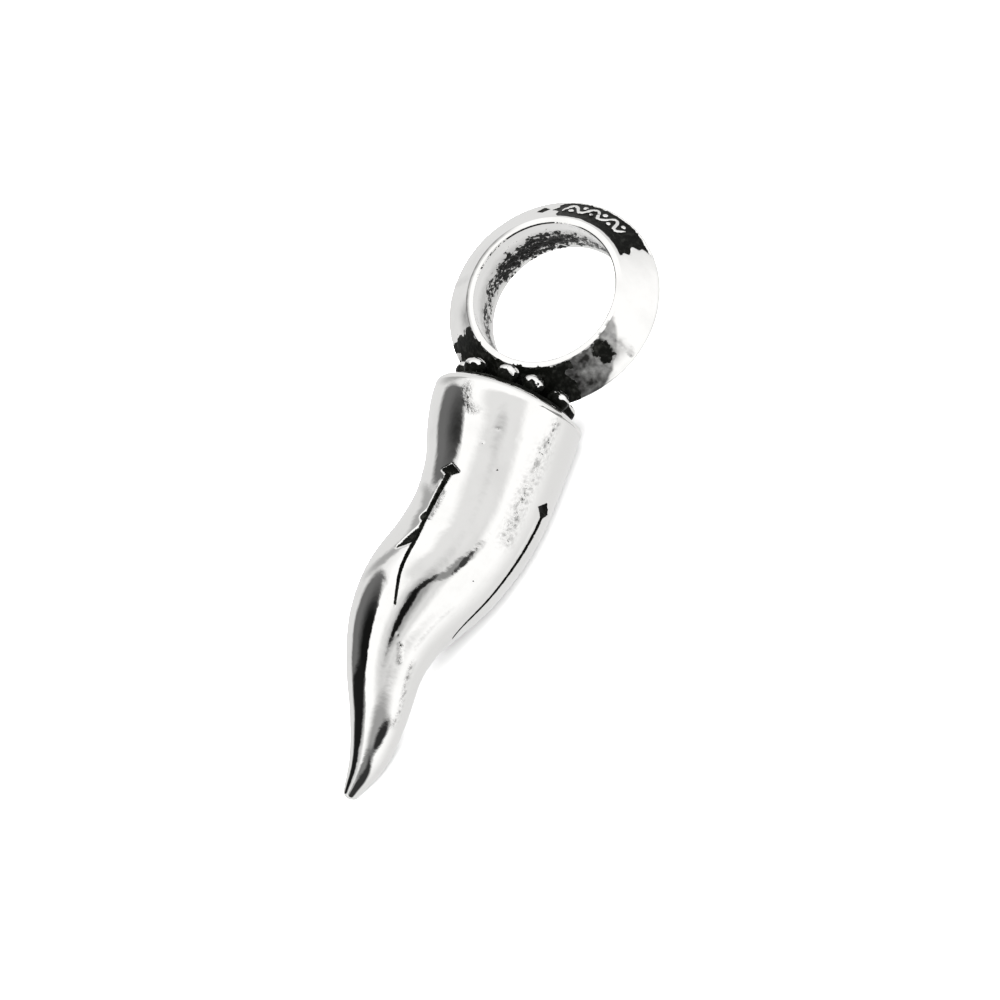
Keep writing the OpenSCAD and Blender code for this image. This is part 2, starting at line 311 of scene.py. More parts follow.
def engraving(down, turn):
    """Depth of the grooves and of the lozenges at their heads, and the black that fills them."""
    r = radius(down)
    depth = np.zeros_like(turn)
    black = np.zeros_like(turn)
    burr = np.zeros_like(turn)
    for route, spill in zip(GROOVES, GROOVE_SPILL):
        head, tail = route[0, 0], route[-1, 0]
        centre = groove_turn(route, down)
        slant = (groove_turn(route, down + 0.002) - centre) * r / (0.002 * HORN_RUN)
        run = np.clip((down - head) / (tail - head), 0, 1)
        share = 1 - (1 - GROOVE_END) * run
        wobble = 1 + 0.16 * np.sin(down * 431) * np.sin(down * 173 + 1) + 0.10 * np.sin(down * 907)
        half = GROOVE_W / 2 * share * wobble
        q = r * (turn - centre) / np.sqrt(1 + slant ** 2)
        trough = np.clip(1 - (q / half) ** 2, 0, 1) ** 0.7
        ends = smooth_step(head - 0.004, head + 0.004, down) * (1 - smooth_step(tail - 0.03, tail, down))
        depth = np.maximum(depth, GROOVE_DEPTH * share * trough * ends)
        edge = half + spill * (1 - run ** 3)
        black = np.maximum(black, (1 - smooth_step(edge, edge + 0.04, np.abs(q))) * (ends > 0.15))
        pushed = np.exp(-((np.abs(q) - half - BURR_AWAY) / BURR_HALF) ** 2) * ends * (2 * share - 1)
        burr = np.maximum(burr, BURR_H * pushed * (1 + 0.5 * np.sin(down * 95 + 2) * np.sin(down * 41)))
        p = (down - head) * HORN_RUN
        lozenge = 1 - np.abs(q) / (LOZENGE_W / 2) - np.abs(p) / (LOZENGE_H / 2)
        depth = np.maximum(depth, GROOVE_DEPTH * np.clip(lozenge * 2.2, 0, 1))
        black = np.maximum(black, np.clip(lozenge / 0.26 + 0.5, 0, 1))
    return np.where(depth > 0.004, depth, -burr), black


def pit_depth(down, turn):
    depth = np.zeros_like(turn)
    for d, t, size, deep in PITS:
        away = np.hypot((down - d) * HORN_RUN, radius(down) * (turn - math.radians(t)))
        depth += deep * np.exp(-(away / size) ** 2 * 2)
    return depth


def lap_depth(down, turn):
    """Depth of the cold laps, as a share of each one's own and in millimetres."""
    share = np.zeros_like(turn)
    depth = np.zeros_like(turn)
    away = radius(down) * (turn - groove_turn(GROOVES[0], down))
    for start, end, tip, reach, deep in LAPS:
        out = np.clip(away / reach, 0, 1)
        centre = (start + end) / 2 * (1 - out) + tip * out
        half = (end - start) / 2 * (1 - out ** 1.5) * HORN_RUN + 0.02
        here = 1 - smooth_step(0.75, 1.2, np.abs(down - centre) * HORN_RUN / half)
        here = here * (away > 0) * (1 - smooth_step(0.9, 1.05, away / reach))
        share = np.maximum(share, here)
        depth = np.maximum(depth, deep * here)
    return share, depth


def coarse_share(down, turn):
    """How strongly each point belongs to a coarse stretch, with its grain height and black share."""
    share = np.zeros_like(turn)
    height = np.zeros_like(turn)
    black = np.zeros_like(turn)
    for route, half, grain, dark in COARSE:
        path = np.array(route)
        centre = np.radians(np.interp(down, path[:, 0], path[:, 1]))
        past = np.maximum(0, np.maximum(path[0, 0] - down, down - path[-1, 0])) * HORN_RUN
        away = np.hypot(radius(down) * (turn - centre), past) / half
        here = np.exp(-away ** 2) * (away < 2.5)
        share = np.maximum(share, here)
        height = np.maximum(height, grain * here)
        black = np.maximum(black, dark * here)
    return share, height, black


# Rows of points down the horn: shares of the flat top's radius, then steps of the rim, body and tip
TOP_SHARES = [0.30, 0.60, 0.80, 0.90, 0.97]
RIM_ROWS = 12
BODY_ROWS = 316
TIP_ROWS = 14

# A hand-finished casting isn't quite true: layers of lumps in millimetres, how far the skin is set in to
# stay inside the solid, and the size of the coarse stretches' grains
HORN_LUMPS = [(0.012, 2.6, 1), (0.004, 0.9, 2)]
HORN_INSET = 0.012
GRAIN_SIZE = 0.20


def make_horn():
    rim = np.radians(np.linspace(0, 90, RIM_ROWS + 1))[:-1]
    rim_share = RIM_WORN_R / HORN_RUN
    body = rim_share + (1 - rim_share) * np.linspace(0, 1, BODY_ROWS)
    tip_slope = math.atan((radius(0.999) - radius(1.0)) / (0.001 * HORN_RUN))
    tip_angles = tip_slope + (math.radians(89) - tip_slope) * np.linspace(0, 1, TIP_ROWS + 1)[1:]

    def ring(down, r, direction, centre, engraved):
        turn = column_turns(np.array([down]))[0]
        out = outward_of(np.broadcast_to(direction, (len(turn), 3)), turn)
        cut = np.zeros_like(turn)
        grain = np.zeros_like(turn)
        black = np.zeros_like(turn)
        coarse = np.zeros_like(turn)
        if engraved:
            downs = np.full_like(turn, down)
            near_turn = (turn + math.pi / 3) % (2 * math.pi) - math.pi / 3
            cut, black = engraving(downs, near_turn)
            pits = pit_depth(downs, near_turn)
            lap, lap_cut = lap_depth(downs, near_turn)
            coarse, grain, specks = coarse_share(downs, near_turn)
            cut = np.where(lap_cut > 0.004, np.maximum(cut, lap_cut), cut) + pits
            black = np.max([black, 0.9 * lap, specks, smooth_step(0.005, 0.016, pits) * 0.75], axis=0)
        return centre + out * (r - cut)[:, None], np.stack([black, grain, coarse], -1)

    down_y = np.array([0, -1.0, 0])
    rows = []
    marks = []

    def add(*args):
        points, mark = ring(*args)
        rows.append(points)
        marks.append(mark)

    top_r = radius(0.0) - RIM_WORN_R
    for share in TOP_SHARES:
        add(0.0, top_r * share, down_y, middle(0.0), False)
    for a in rim:
        down = rim_share * (1 - math.cos(a))
        r = radius(down) - RIM_WORN_R * (1 - math.sin(a))
        add(down, r, down_y, middle(down), False)
    for down in body:
        add(down, radius(down), along(down), middle(down), True)
    tip_r = HORN_TIP_R / math.cos(tip_slope)
    tip_way = along(1.0)
    for a in tip_angles:
        centre = middle(1.0) + tip_way * tip_r * (math.sin(a) - math.sin(tip_slope))
        add(1.0, tip_r * math.cos(a), tip_way, centre, False)
    columns = len(rows[0])
    points = np.concatenate(rows)
    black, grain, coarse = np.concatenate(marks).T
    axis_points = np.repeat(np.array([row.mean(axis=0) for row in rows]), columns, axis=0)
    lump = lumps(points, HORN_LUMPS) + grain * (rough(points, GRAIN_SIZE, 9) - 0.5)
    # The lumps fade on the last half millimetre to the axis, and there are none on the flat top
    fade = np.clip(np.linalg.norm(points - axis_points, axis=1) / 0.5, 0, 1)
    fade[: columns * len(TOP_SHARES)] = 0
    points = points + unit(points - axis_points + 1e-9) * ((lump - HORN_INSET) * fade)[:, None]
    # Black stays in the marks and on the flat top
    top_black = np.zeros(len(points))
    top_black[: columns * (len(TOP_SHARES) + 2)] = 1
    ends = np.array([middle(0.0), rows[-1].mean(axis=0) + tip_way * 0.001])
    faces = tube_faces(len(rows), columns)
    faces += fan_faces(0, columns, len(points))
    faces += fan_faces((len(rows) - 1) * columns, columns, len(points) + 1)
    patina_and_painted_light = np.append(np.maximum(black, top_black), [1, 0])
    tarnish_and_painted_grey = np.append(0.65 * coarse * np.clip(0.05 + 1.6 * rough(points, 0.18, 10), 0, 1), [0, 0])
    coarse = np.append(coarse, [0, 0])
    return make_piece("horn_body", np.concatenate([points, ends]), faces, patina_and_painted_light, tarnish_and_painted_grey, coarse)


# Bail ring

# Profile corners: distance from the hole's middle, height along the hole, rounding and step length
BAIL_CORNERS = [
    (BAIL_BORE_R, -BAIL_WIDTH / 2, 0.09, 0.085),
    (BAIL_BORE_R, BAIL_WIDTH / 2, 0.09, 0.12),
    (BAIL_LIP_R, BAIL_WIDTH / 2, 0.07, 0.055),
    (BAIL_OUTER_R, 0, 0.16, 0.15),
    (BAIL_LIP_R, -BAIL_WIDTH / 2, 0.07, 0.12),
]
CORNER_STEPS = 6

# Blackened panel on the front bevel and the punch mark beside it. Turns are in degrees around the bail
# from +X towards +Y, places are shares of the bevel from its ridge, and the rest is in millimetres.
PANEL_START = 46
PANEL_END = 108
PANEL_DEPTH = 0.07
WAVE_START = 62
WAVE_END = 104
WAVE_PLACE = 0.42
WAVE_LENGTH = 1.15
WAVE_SWING = 0.34
WAVE_LINE = 0.085
DOT_TOP_R = 0.11
DOT_FOOT_R = 0.16
PUNCH_TURN = 117
PUNCH_PLACE = 0.45
PUNCH_LONG = 0.42
PUNCH_WIDE = 0.36
PUNCH_DEPTH = 0.07

# Columns of points around the bail, over the panel with its punch mark and over the rest
PANEL_COLUMNS = 320
REST_COLUMNS = 370

# Uneven casting, as on the horn, and one pit: turn, height along the hole, radius and depth
BAIL_LUMPS = [(0.014, 1.9, 3), (0.006, 0.6, 4)]
BAIL_INSET = 0.016
BAIL_PIT = (7, 1.25, 0.12, 0.03)

# Where black and grey lie around the bail: middle, half width and softness in degrees
FOOT_BLACK = (271, 39, 3)
LEFT_BLACK = (228, 9, 3)
LEFT_GREY = (215, 12, 8)
# Black and grey of a painted dark reflection on the front bevel, and of the painted grey fringe around it
PAINTED_REFLECTION_BLACK = (333, 6, 6)
PAINTED_REFLECTION_GREY = (333, 9, 7)
BORE_DENSE = (132, 35, 25)
LIP_IN_BLACK = (135, 50, 15)
LIP_IN_DENSE = (128, 16, 12)
LIP_OUT_GREY = (182, 42, 12)


def rounded_profile(corners):
    """Closed outline with rounded corners, as points of the half plane, starting on the first side."""
    outline = []
    n = len(corners)
    for i in range(n):
        before = np.array(corners[i - 1][:2])
        here = np.array(corners[i][:2])
        after = np.array(corners[(i + 1) % n][:2])
        r = corners[i][2]
        a = unit(before - here)
        b = unit(after - here)
        half = math.acos(float(a @ b)) / 2
        reach = r / math.tan(half)
        centre = here + unit(a + b) * r / math.sin(half)
        start = here + a * reach - centre
        end = here + b * reach - centre
        for k in range(CORNER_STEPS + 1):
            outline.append(centre + r * unit(start + (end - start) * k / CORNER_STEPS))
        after_reach = corners[(i + 1) % n][2]
        length = np.linalg.norm(after - here) - reach - after_reach
        steps = max(1, round(length / corners[i][3]))
        first = here + b * reach
        last = after - b * after_reach
        outline += [first + (last - first) * k / steps for k in range(1, steps)]
    return np.array(outline)


def bevel_share(rho):
    """Place on the bevel, from 0 at the bail's ridge to 1 at its lip."""
    return (BAIL_OUTER_R - rho) / (BAIL_OUTER_R - BAIL_LIP_R)


def panel_height(turn, rho, z):
    """Relief of the panel: the share that is sunk, and in it a raised running wave with dots."""
    q = bevel_share(rho)
    front = z > 0.02
    mid_r = (BAIL_OUTER_R + BAIL_LIP_R) / 2
    p = np.radians(turn - WAVE_START) * mid_r
    across = (q - WAVE_PLACE) * BEVEL_SLANT
    edge_noise = 2.5 * np.sin(q * 9 + 1) + 1.5 * np.sin(q * 23)
    inside = smooth_step(PANEL_START - 1, PANEL_START + 1, turn + edge_noise)
    inside = inside * (1 - smooth_step(PANEL_END - 1, PANEL_END + 1, turn + edge_noise))
    inside = inside * smooth_step(0.07, 0.13, q) * (1 - smooth_step(0.86, 0.93, q)) * front
    phase = 2 * math.pi * p / WAVE_LENGTH
    line = np.abs(across - WAVE_SWING * np.sin(phase))
    steep = np.sqrt(1 + (WAVE_SWING * 2 * math.pi / WAVE_LENGTH * np.cos(phase)) ** 2)
    wave = 1 - smooth_step(WAVE_LINE * 0.8, WAVE_LINE * 1.3, line / steep)
    nearest = (np.round(p / WAVE_LENGTH * 2 - 0.5) + 0.5) * WAVE_LENGTH / 2
    sign = np.sin(2 * math.pi * nearest / WAVE_LENGTH)
    dot = np.hypot(p - nearest, across + sign * WAVE_SWING * 0.75)
    raised = np.maximum(wave, 1 - smooth_step(DOT_TOP_R, DOT_FOOT_R, dot))
    raised = raised * (turn > WAVE_START) * (turn < WAVE_END)
    return inside, raised


def punch_mark(turn, rho, z):
    """Lozenge punched beside the panel, as on the horn: its depth and its black."""
    u = np.radians(turn - PUNCH_TURN) * rho
    v = (bevel_share(rho) - PUNCH_PLACE) * BEVEL_SLANT
    share = 1 - np.abs(u) / PUNCH_LONG - np.abs(v) / PUNCH_WIDE
    front = z > 0.02
    return PUNCH_DEPTH * np.clip(share * 2, 0, 1) * front, np.clip(share / 0.24 + 0.5, 0, 1) * front


def bail_turns():
    """Turns around the bail in degrees, crowded over the panel and the punch mark."""
    start = PANEL_START - 4
    end = PUNCH_TURN + 7
    panel = np.linspace(start, end, PANEL_COLUMNS, endpoint=False)
    rest = np.linspace(end, start + 360, REST_COLUMNS, endpoint=False)
    return np.concatenate([panel, rest])


def near(turn, middle_turn, half, soft):
    """1 within half a width of a turn, fading to 0."""
    away = np.abs((turn - middle_turn + 180) % 360 - 180)
    return 1 - smooth_step(half - soft, half + soft, away)


def make_bail():
    profile = rounded_profile(BAIL_CORNERS)
    turns = bail_turns()
    turn = turns[None, :] + np.zeros((len(profile), 1))
    rho = profile[:, 0][:, None] + 0 * turn
    z = profile[:, 1][:, None] + 0 * turn
    ahead = np.roll(profile, -1, 0) - np.roll(profile, 1, 0)
    normal = unit(np.stack([ahead[:, 1], -ahead[:, 0]], -1))
    centre = profile.mean(axis=0)
    if float(np.sum((profile[0] - centre) * normal[0])) < 0:
        normal = -normal
    c = np.cos(np.radians(turn))
    s = np.sin(np.radians(turn))
    plain = np.stack([rho * c, rho * s, z], -1)
    panel_turn = turn + 0.9 * rough(plain, 0.40, 13)
    panel_rho = rho + 0.03 * rough(plain, 0.30, 14)
    inside, raised = panel_height(panel_turn, panel_rho, z)
    on_bore = rho < BAIL_BORE_R + 0.01
    lump = np.where(on_bore, 0, lumps(plain, BAIL_LUMPS) - BAIL_INSET)
    punch_depth, punch = punch_mark(turn, rho, z)
    pit_turn, pit_z, pit_r, pit_deep = BAIL_PIT
    pit = np.hypot(np.radians(turn - pit_turn) * rho, (z - pit_z) * 1.4) / pit_r
    punch_depth = punch_depth + pit_deep * np.exp(-pit ** 2)
    punch = np.maximum(punch, 0.95 * np.exp(-pit ** 2))
    # Uneven black crust inside the hole
    crust = 0.03 * (rough(plain, 0.34, 11) - 0.6) + 0.012 * rough(plain, 0.14, 12)
    crust = crust * (1 - smooth_step(1.2, 1.5, np.abs(z + 0.1)))
    move = lump - PANEL_DEPTH * inside * (1 - raised) - punch_depth + np.where(on_bore, crust, 0)
    out_rho = rho + normal[:, 0][:, None] * move
    out_z = z + normal[:, 1][:, None] * move
    points = np.stack([out_rho * c, out_rho * s, out_z], -1)
    # Black: patina on the panel, the foot, a band inside the hole and a patch on the left of the bevel, and
    # a painted dark reflection on the front bevel
    q = bevel_share(rho)
    ragged = rough(plain, 0.45, 5) + 0.5 * rough(plain, 0.16, 6)
    bevel = (rho + 0.10 * ragged > BAIL_LIP_R) * 1.0
    front = (z > 0) * 1.0
    foot = near(turn + 7 * ragged, *FOOT_BLACK) * bevel
    # Painted dark reflection on the front bevel, drawn as black
    painted_reflection = near(turn + 5 * ragged, *PAINTED_REFLECTION_BLACK) * bevel * front * smooth_step(0.25, 0.5, q + 0.2 * ragged)
    painted_reflection = painted_reflection * (1 - smooth_step(0.85, 1.0, q + 0.1 * ragged))
    left = near(turn + 5 * ragged, *LEFT_BLACK) * bevel * smooth_step(0.0, 0.2, q + 0.2 * ragged)
    dense = near(turn, *BORE_DENSE)
    from_band = np.abs(z + 0.45) / (0.75 + 0.45 * dense)
    band = (1 - smooth_step(0.35, 1.5, from_band + 0.50 * ragged)) * on_bore * (0.60 + 0.16 * dense)
    # Black left along the lip's inner edge, and grey along its outer one
    lip_in = (z > BAIL_WIDTH / 2 - 0.085) * (rho < BAIL_BORE_R + 0.07)
    lip_in = lip_in * (0.58 * near(turn, *LIP_IN_BLACK) + 0.30 * near(turn, *LIP_IN_DENSE))
    lip_out = (z > BAIL_WIDTH / 2 - 0.07) * (rho > BAIL_LIP_R - 0.05) * 0.65 * near(turn, *LIP_OUT_GREY)
    # Polishing hasn't cleaned the raised line everywhere
    cleaned = np.clip(0.80 + 0.5 * rough(plain, 0.22, 15), 0, 1)
    panel = inside * (1 - raised * cleaned)
    patina_and_painted_light = np.max([foot, painted_reflection, left, band, panel, punch, lip_in], axis=0)
    # Grey: tarnish beside the foot up to a wiped edge and inside the hole, and a painted grey fringe around
    # the painted dark reflection
    wiped = 320 + 46 * q - 10 * q ** 2 + 1.2 * ragged
    beside = smooth_step(285, 300, turn) * (1 - smooth_step(wiped - 1.5, wiped + 1.5, turn)) * bevel * front
    beside = beside * (0.90 - 0.29 * smooth_step(315, 345, turn))
    # Painted grey fringe around that painted dark reflection
    painted_reflection_fringe = near(turn + 2 * ragged, *PAINTED_REFLECTION_GREY) * bevel * front * smooth_step(0.15, 0.6, q)
    left_grey = near(turn, *LEFT_GREY) * bevel * smooth_step(0.45, 0.95, q) * 0.55
    haze = (1 - smooth_step(0.5, 1.3, np.abs(z + 0.3))) * on_bore * 0.3
    tarnish_and_painted_grey = np.max([beside, painted_reflection_fringe, left_grey, haze, lip_out], axis=0)
    faces = tube_faces(len(profile), len(turns), close_rows=True)
    return make_piece("bail_ring", points.reshape(-1, 3), faces, patina_and_painted_light, tarnish_and_painted_grey, 0.7 * band)


# Foot of the bail: step, dome and granules

COLLAR_COLUMNS = 192
COLLAR_EDGE_R = 0.08
DOME_COLUMNS = 128
DOME_ROWS = 24
# Height and size of the lumps on the step and the dome
FOOT_LUMP_H = 0.02
FOOT_LUMP_SIZE = 0.7
# How much a granule's wear, and the highlight ring painted on it, follow its outward and its upper side
WEAR_AND_HIGHLIGHT_OUT = 0.52
WEAR_AND_HIGHLIGHT_UP = 0.85


def on_horn_top(points):
    """Points drawn with +Z towards the bail, moved onto the middle of the horn's flat top."""
    p = np.asarray(points).reshape(-1, 3)
    return np.stack([p[:, 0] - HORN_OFFSET, p[:, 2] + HORN_TOP_Y, -p[:, 1]], -1)


def turned(name, profile, columns, seed):
    """Black round piece on the horn's top, from (radius, height) points that start and end on its axis."""
    a = np.linspace(0, 2 * math.pi, columns, endpoint=False)
    rows = []
    for r, h in profile[1:-1]:
        rows.append(np.stack([r * np.cos(a), r * np.sin(a), np.full(columns, h)], -1))
    points = np.concatenate(rows)
    lump = FOOT_LUMP_H * rough(points, FOOT_LUMP_SIZE, seed)
    points[:, 2] += lump * (points[:, 2] > 0)
    ends = np.array([(0, 0, profile[0][1]), (0, 0, profile[-1][1])])
    faces = tube_faces(len(rows), columns)
    faces += fan_faces(0, columns, len(points))
    faces += fan_faces((len(rows) - 1) * columns, columns, len(points) + 1)
    return make_piece(name, on_horn_top(np.concatenate([points, ends])), faces, 1.0)


def make_collar():
    edge = COLLAR_EDGE_R
    steps = np.radians(np.linspace(0, 90, 7))
    profile = [(0, -COLLAR_ROOT), (COLLAR_R * 0.6, -COLLAR_ROOT), (COLLAR_R, -COLLAR_ROOT)]
    profile += [(COLLAR_R, -COLLAR_ROOT * k / 4) for k in (3, 2, 1)]
    profile += [(COLLAR_R - edge + edge * math.cos(a), COLLAR_H - edge + edge * math.sin(a)) for a in steps]
    profile += [((COLLAR_R - edge) * k, COLLAR_H) for k in (0.95, 0.85, 0.7, 0.5, 0.25)]
    profile += [(0, COLLAR_H)]
    return turned("collar_step", profile, COLLAR_COLUMNS, 7)


def make_dome():
    dome_r = GRANULE_RING_R - GRANULE_R / 2
    sphere_r = (dome_r ** 2 + DOME_H ** 2) / (2 * DOME_H)
    base = COLLAR_H + DOME_H - sphere_r
    shares = np.linspace(1, 0, DOME_ROWS)
    profile = [(0, 0), (dome_r * 0.6, 0), (dome_r, 0)]
    profile += [(dome_r * k, base + math.sqrt(sphere_r ** 2 - (dome_r * k) ** 2)) for k in shares]
    return turned("bail_foot", profile, DOME_COLUMNS, 8)


def make_granules():
    pieces = []
    for i in range(GRANULE_COUNT):
        turn = math.radians(GRANULE_TURN + 360 * i / GRANULE_COUNT + GRANULE_DRIFT[i])
        ball = bmesh.new()
        bmesh.ops.create_icosphere(ball, subdivisions=5, radius=1)
        shape = np.array([v.co[:] for v in ball.verts])
        faces = [tuple(v.index for v in f.verts) for f in ball.faces]
        ball.free()
        size = GRANULE_R * (1 - 0.03 + 0.03 * math.sin(i * 2.3))
        local = shape * size * (1 + 0.05 * rough(shape, 0.7, 20 + i))[:, None]
        local[:, 2] = np.where(local[:, 2] > 0, local[:, 2] * GRANULE_FLAT, local[:, 2])
        height = COLLAR_H + GRANULE_R - GRANULE_SEAT
        place = np.array([math.cos(turn) * GRANULE_RING_R, math.sin(turn) * GRANULE_RING_R, height])
        points = local + place
        out = shape @ np.array([math.cos(turn), math.sin(turn), 0])
        facing = WEAR_AND_HIGHLIGHT_OUT * out + WEAR_AND_HIGHLIGHT_UP * shape[:, 2]
        worn = rough(points, 0.26, 40 + i)
        # The black spot where a granule faces most this way is a painted dark centre of its highlight ring;
        # the black on its low sides is patina in the crevices
        painted_dark_centre = smooth_step(0.80, 0.92, facing - 0.30 * worn)
        patina_and_painted_light = np.maximum(1 - smooth_step(0.30, 0.58, facing + 0.35 * worn), 0.85 * painted_dark_centre)
        pieces.append(make_piece("granule_%02d" % (i + 1), on_horn_top(points), faces, patina_and_painted_light))
    return pieces


# Materials

def new_node(tree, kind, **values):
    node = tree.nodes.new(kind)
    for name, value in values.items():
        if name in node.inputs:
            node.inputs[name].default_value = value
        else:
            setattr(node, name, value)
    return node


def plug(tree, socket, value):
    """Link a node's output to a socket, or set the socket to a number or a colour."""
    if isinstance(value, bpy.types.NodeSocket):
        tree.links.new(value, socket)
    else:
        socket.default_value = value


def attribute_node(tree, name):
    """One of the shares that make_piece stores on the mesh."""
    return new_node(tree, "ShaderNodeAttribute", attribute_name=name).outputs["Fac"]


def noise_node(tree, place, size_mm, detail=2.0, rough_share=0.5):
    """Noise texture with lumps of this size in millimetres."""
    node = new_node(tree, "ShaderNodeTexNoise", Scale=1000 / size_mm, Detail=detail, Roughness=rough_share)
    tree.links.new(place, node.inputs["Vector"])
    return node.outputs["Fac"]


def math_node(tree, operation, a, b=0.0, clamp=False):
    node = tree.nodes.new("ShaderNodeMath")
    node.operation = operation
    node.use_clamp = clamp
    plug(tree, node.inputs[0], a)
    plug(tree, node.inputs[1], b)
    return node.outputs[0]


def times(tree, a, b, clamp=False):
    return math_node(tree, "MULTIPLY", a, b, clamp)


def total(tree, first, *others):
    for other in others:
        first = math_node(tree, "ADD", first, other)
    return first


def swing(tree, value, weight):
    """How far a noise is from its middle, times a weight."""
    return times(tree, math_node(tree, "SUBTRACT", value, 0.5), weight)


def length_node(tree, a, b):
    return math_node(tree, "SQRT", total(tree, times(tree, a, a), times(tree, b, b)))


def range_node(tree, value, from_low, from_high, to_low, to_high):
    node = new_node(tree, "ShaderNodeMapRange", interpolation_type="SMOOTHSTEP")
    tree.links.new(value, node.inputs["Value"])
    ends = {"From Min": from_low, "From Max": from_high, "To Min": to_low, "To Max": to_high}
    for name, number in ends.items():
        node.inputs[name].default_value = number
    return node.outputs["Result"]


# Places of the mix node's sockets: share, first, second and result
MIX_SOCKETS = {"FLOAT": (0, 2, 3, 0), "RGBA": (0, 6, 7, 2)}


def mix_node(tree, kind, share, first, second, label=""):
    """From the first number or colour to the second by a share."""
    node = new_node(tree, "ShaderNodeMix", data_type=kind, label=label)
    share_at, first_at, second_at, result_at = MIX_SOCKETS[kind]
    plug(tree, node.inputs[share_at], share)
    plug(tree, node.inputs[first_at], first)
    plug(tree, node.inputs[second_at], second)
    return node.outputs[result_at]


SILVER_BRIGHT = (0.905, 0.900, 0.885, 1)
SILVER_DULL = (0.80, 0.795, 0.78, 1)
# The black and its grey stand for oxide and also for painted dark reflections; the tarnish grey also stands
# for a painted grey reflection
TARNISH_AND_PAINTED_GREY = (0.030, 0.030, 0.028, 1)
PATINA_AND_PAINTED_BLACK = (0.0014, 0.0015, 0.0012, 1)
PATINA_AND_PAINTED_GREY = (0.0080, 0.0082, 0.0072, 1)
PATINA_ROUGHNESS = 0.28
TARNISH_ROUGHNESS = 0.12
PATINA_METAL_LOSS = 0.8
EDGE_SPECULAR = 0.05

# The material's noises: their lumps in millimetres, and the bump's height for each of its layers
FINE_MM = 0.12
MIDDLING_MM = 0.30
BLOTCH_MM = 0.8
CLOUD_MM = 2.2
CRUST_MM = 0.3
WAVE_MM = 0.9
RIPPLE_MM = 0.20
STROKE_MM = 0.13
STROKE_STRETCH = 0.12
BUMP_M = 0.000012
RIPPLE_BUMP = 0.16
STROKE_BUMP = 0.05
GRAIN_BUMP = 7.0
CRUST_BUMP = 2.0


def make_silver():
    """Polished cast silver with fine wear, and black where the piece's patina share is high: oxide, and
    painted dark reflections and highlight rings.
    """
    material = bpy.data.materials.new("cast_silver")
    material.use_nodes = True
    tree = material.node_tree
    shader = tree.nodes["Principled BSDF"]
    place = tree.nodes.new("ShaderNodeTexCoord").outputs["Object"]

    # Black oxide and painted dark reflection, its edge broken by noise, and grey tarnish and painted grey
    # reflection
    fine = noise_node(tree, place, FINE_MM, 3.0, 0.6)
    middling = noise_node(tree, place, MIDDLING_MM)
    edge = total(tree, swing(tree, fine, 1.2), swing(tree, middling, 1.1))
    ragged = total(tree, times(tree, attribute_node(tree, "patina_and_painted_light"), 1.4), edge)
    black = range_node(tree, ragged, 0.72, 0.89, 0.0, 1.0)
    blotch = noise_node(tree, place, BLOTCH_MM)
    uneven = total(tree, swing(tree, blotch, 0.9), swing(tree, middling, 0.6))
    dull = times(tree, attribute_node(tree, "tarnish_and_painted_grey"), total(tree, 1.0, uneven), clamp=True)

    cloud = noise_node(tree, place, CLOUD_MM, 4.0, 0.55)
    crust = noise_node(tree, place, CRUST_MM, 4.0, 0.65)
    clouded = range_node(tree, cloud, 0.45, 0.75, 0.0, 0.5)
    crusted = range_node(tree, crust, 0.48, 0.72, 0.0, 1.0)
    metal = mix_node(tree, "RGBA", clouded, SILVER_BRIGHT, SILVER_DULL)
    oxide_and_painted_dark = mix_node(tree, "RGBA", crusted, PATINA_AND_PAINTED_BLACK, PATINA_AND_PAINTED_GREY)
    tarnish_and_painted_grey_colour = mix_node(tree, "RGBA", dull, metal, TARNISH_AND_PAINTED_GREY)
    colour = mix_node(tree, "RGBA", black, tarnish_and_painted_grey_colour, oxide_and_painted_dark)

    polish = range_node(tree, cloud, 0.35, 0.75, 0.02, 0.05)
    wear = total(tree, polish, times(tree, black, PATINA_ROUGHNESS), times(tree, dull, TARNISH_ROUGHNESS))
    metallic = math_node(tree, "SUBTRACT", 1.0, times(tree, black, PATINA_METAL_LOSS))

    # Cast waves, ripples, polishing strokes along the charm, coarse grain and pitted oxide
    waves = noise_node(tree, place, WAVE_MM)
    ripple = noise_node(tree, place, RIPPLE_MM, 3.0, 0.6)
    lengthways = new_node(tree, "ShaderNodeMapping", Scale=(1, STROKE_STRETCH, 1))
    tree.links.new(place, lengthways.inputs["Vector"])
    strokes = noise_node(tree, lengthways.outputs["Vector"], STROKE_MM)
    height = total(tree, waves, times(tree, ripple, RIPPLE_BUMP), times(tree, strokes, STROKE_BUMP))
    grains = times(tree, times(tree, fine, attribute_node(tree, "coarse")), GRAIN_BUMP)
    pitted = times(tree, times(tree, crust, black), CRUST_BUMP)
    bump = new_node(tree, "ShaderNodeBump", Strength=1.0, Distance=BUMP_M)
    tree.links.new(total(tree, height, grains, pitted), bump.inputs["Height"])

    plug(tree, shader.inputs["Base Color"], colour)
    plug(tree, shader.inputs["Roughness"], wear)
    plug(tree, shader.inputs["Metallic"], metallic)
    plug(tree, shader.inputs["Specular IOR Level"], EDGE_SPECULAR)
    plug(tree, shader.inputs["Normal"], bump.outputs["Normal"])
    return material


# Table, light and camera

# The photograph's frame: 1000 by 1000 pixels, 20 to a millimetre
PIXELS = 1000
PIXELS_PER_MM = 20
BAIL_CENTRE_PIXEL = (554.3, 304.4)
LENS = 1000
SENSOR = 36
# The picture's right and up in the flat drawing
VIEW_RIGHT = (0.867, 0.372, -0.332)
VIEW_UP = (-0.234, 0.891, 0.388)


def view_axes():
    """The picture's right, up and towards-the-camera directions in the model."""
    right = Vector(np.array(VIEW_RIGHT) @ FLAT)
    up = Vector(np.array(VIEW_UP) @ FLAT)
    back = right.cross(up).normalized()
    return right.normalized(), back.cross(right).normalized(), back


